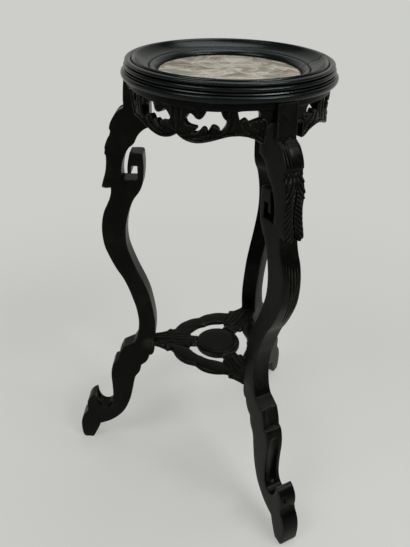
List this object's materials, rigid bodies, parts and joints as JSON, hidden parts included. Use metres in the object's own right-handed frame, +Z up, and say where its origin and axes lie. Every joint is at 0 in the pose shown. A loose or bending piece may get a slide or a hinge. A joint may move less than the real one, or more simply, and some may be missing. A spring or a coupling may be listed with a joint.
{
  "type": "tripod stand",
  "caption": "Tall round stand with a marble panel in a moulded black frame, pierced aprons, scrolled carved legs and a pierced stretcher with a central disc.",
  "frame": {"origin": "middle of the marble's upper face", "axes": "+Z up, out of the marble's upper face; leg_1 stands towards -X, leg_2 at 300 degrees and leg_3 at 60 degrees from +X about +Z"},
  "size_m": [0.4736, 0.5428, 0.847],
  "materials": {
    "black_wood": "satin black stain",
    "plain_wood": "unpolished dark hardwood",
    "marble": "polished, mottled beige and pinkish brown"
  },
  "bodies": {
    "stand": {"top_ring_1": "black_wood", "top_ring_2": "black_wood", "top_ring_3": "black_wood", "torus_moulding_1": "black_wood", "torus_moulding_2": "black_wood", "torus_moulding_3": "black_wood", "bearer_1": "plain_wood", "bearer_2": "plain_wood", "ring_key_1": "plain_wood", "apron_1": "black_wood", "leg_1": "black_wood", "stretcher_arm_1": "black_wood", "tenon_peg_1": "black_wood", "ring_key_2": "plain_wood", "apron_2": "black_wood", "leg_2": "black_wood", "stretcher_arm_2": "black_wood", "tenon_peg_2": "black_wood", "ring_key_3": "plain_wood", "apron_3": "black_wood", "leg_3": "black_wood", "stretcher_arm_3": "black_wood", "tenon_peg_3": "black_wood", "stretcher_disc": "black_wood"},
    "marble": {"marble_top": "marble"}
  },
  "joints": [
    {"name": "marble_lift", "type": "slide", "parent": "stand", "child": "marble", "axis": [0, 0, 1], "range_m": [0, 0.05]}
  ]
}
